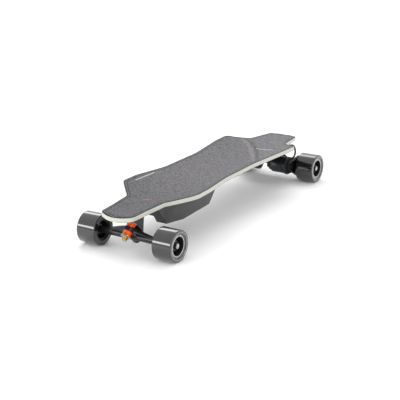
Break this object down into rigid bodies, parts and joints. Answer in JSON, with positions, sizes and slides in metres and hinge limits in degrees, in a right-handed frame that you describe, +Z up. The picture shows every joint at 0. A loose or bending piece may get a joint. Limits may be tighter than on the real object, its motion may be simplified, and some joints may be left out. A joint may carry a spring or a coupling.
{
  "type": "electric skateboard",
  "caption": "Belt-driven electric longboard with a cut-away concave deck, reverse-kingpin trucks, smooth urethane wheels, and battery and speed controller cases under the deck.",
  "frame": {"origin": "on the ground under the middle of the deck, the bottom centre of the bounding box", "axes": "+X to the nose, +Y to the rider's left, +Z up"},
  "size_m": [0.918, 0.292, 0.138],
  "materials": {
    "deck_edge": "painted laminate",
    "grip": "gritty abrasive sheet",
    "brass": "turned",
    "pad_rubber": "moulded rubber",
    "truck": "black powder coat on cast alloy",
    "zinc_steel": "zinc plated",
    "gold_nut": "yellow zinc",
    "bushing": "cast urethane",
    "black_steel": "black oxide",
    "axle_steel": "ground steel",
    "case_plastic": "fine textured moulding",
    "cell_sleeve": "shrink sleeve",
    "circuit_board": "solder mask",
    "socket_metal": "nickel plated",
    "heat_sink": "black anodised",
    "button": "soft touch",
    "cable": "braided sleeve",
    "urethane": "smooth cast urethane",
    "core_plastic": "glass filled nylon",
    "pulley": "black anodised",
    "pulley_steel": "machined",
    "belt": "toothed rubber",
    "mount": "black anodised",
    "motor_alloy": "black anodised",
    "motor_can": "black coated steel"
  },
  "bodies": {
    "board": {"deck": "deck_edge", "grip_tape": "grip", "deck_inserts": "brass", "riser_pads": "pad_rubber", "front_baseplate": "truck", "rear_baseplate": "truck", "pivot_cups": "pad_rubber", "kingpins": "zinc_steel", "kingpin_nuts": "gold_nut", "cup_washers": "zinc_steel", "front_upper_bushing": "bushing", "front_lower_bushing": "bushing", "rear_upper_bushing": "bushing", "rear_lower_bushing": "bushing", "truck_bolts": "black_steel", "case_screws": "black_steel", "battery_case": "case_plastic", "battery_cells": "cell_sleeve", "battery_board": "circuit_board", "charge_socket": "socket_metal", "cap_hinge_pin": "axle_steel", "controller_case": "case_plastic", "heat_sink": "heat_sink", "controller_board": "circuit_board", "left_motor_cable": "cable", "right_motor_cable": "cable"},
    "front_truck_hanger": {"front_hanger": "truck", "front_axle": "axle_steel", "front_axle_nuts": "zinc_steel"},
    "rear_truck_hanger": {"rear_hanger": "truck", "rear_axle": "axle_steel", "rear_axle_nuts": "zinc_steel", "left_motor_mount": "mount", "right_motor_mount": "mount", "left_motor_base": "motor_alloy", "right_motor_base": "motor_alloy", "left_drive_belt": "belt", "right_drive_belt": "belt", "mount_screws": "black_steel"},
    "front_left_wheel": {"front_left_tyre": "urethane", "front_left_core": "core_plastic", "front_left_bearings": "axle_steel"},
    "front_right_wheel": {"front_right_tyre": "urethane", "front_right_core": "core_plastic", "front_right_bearings": "axle_steel"},
    "rear_left_wheel": {"rear_left_tyre": "urethane", "rear_left_core": "core_plastic", "rear_left_bearings": "axle_steel", "left_wheel_pulley": "pulley"},
    "rear_right_wheel": {"rear_right_tyre": "urethane", "rear_right_core": "core_plastic", "rear_right_bearings": "axle_steel", "right_wheel_pulley": "pulley"},
    "left_motor_rotor": {"left_motor_can": "motor_can", "left_motor_pulley": "pulley_steel"},
    "right_motor_rotor": {"right_motor_can": "motor_can", "right_motor_pulley": "pulley_steel"},
    "button": {"power_button": "button"},
    "port_cap": {"charge_port_cap": "pad_rubber"}
  },
  "joints": [
    {"name": "front_steer", "type": "hinge", "parent": "board", "child": "front_truck_hanger", "pos_m": [0.392, 0, 0.0625], "axis": [0.7071, 0, 0.7071], "range_deg": [-15, 15], "stiffness_Nm_per_rad": 80, "deforming": ["front_upper_bushing", "front_lower_bushing"]},
    {"name": "rear_steer", "type": "hinge", "parent": "board", "child": "rear_truck_hanger", "pos_m": [-0.411, 0, 0.0625], "axis": [-0.7071, 0, 0.7071], "range_deg": [-15, 15], "stiffness_Nm_per_rad": 80, "deforming": ["rear_upper_bushing", "rear_lower_bushing", "left_motor_cable", "right_motor_cable"]},
    {"name": "front_left_wheel_spin", "type": "hinge", "parent": "front_truck_hanger", "child": "front_left_wheel", "pos_m": [0.38, 0.1175, 0.0425], "axis": [0, 1, 0], "continuous": true},
    {"name": "front_right_wheel_spin", "type": "hinge", "parent": "front_truck_hanger", "child": "front_right_wheel", "pos_m": [0.38, -0.1175, 0.0425], "axis": [0, 1, 0], "continuous": true},
    {"name": "rear_left_wheel_spin", "type": "hinge", "parent": "rear_truck_hanger", "child": "rear_left_wheel", "pos_m": [-0.399, 0.1175, 0.0425], "axis": [0, 1, 0], "continuous": true},
    {"name": "rear_right_wheel_spin", "type": "hinge", "parent": "rear_truck_hanger", "child": "rear_right_wheel", "pos_m": [-0.399, -0.1175, 0.0425], "axis": [0, 1, 0], "continuous": true},
    {"name": "left_motor_spin", "type": "hinge", "parent": "rear_truck_hanger", "child": "left_motor_rotor", "pos_m": [-0.344, 0.045, 0.055], "axis": [0, 1, 0], "continuous": true},
    {"name": "right_motor_spin", "type": "hinge", "parent": "rear_truck_hanger", "child": "right_motor_rotor", "pos_m": [-0.344, -0.045, 0.055], "axis": [0, 1, 0], "continuous": true},
    {"name": "power_button_press", "type": "slide", "parent": "board", "child": "button", "axis": [0, 1, 0], "range_m": [0, 0.0015], "stiffness_N_per_m": 900},
    {"name": "charge_cap_swing", "type": "hinge", "parent": "board", "child": "port_cap", "pos_m": [0.1055, 0, 0.097], "axis": [0, 1, 0], "range_deg": [0, 110]}
  ],
  "couplings": [
    {"joint": "left_motor_spin", "follows": "rear_left_wheel_spin", "ratio": 2.4},
    {"joint": "right_motor_spin", "follows": "rear_right_wheel_spin", "ratio": 2.4}
  ]
}
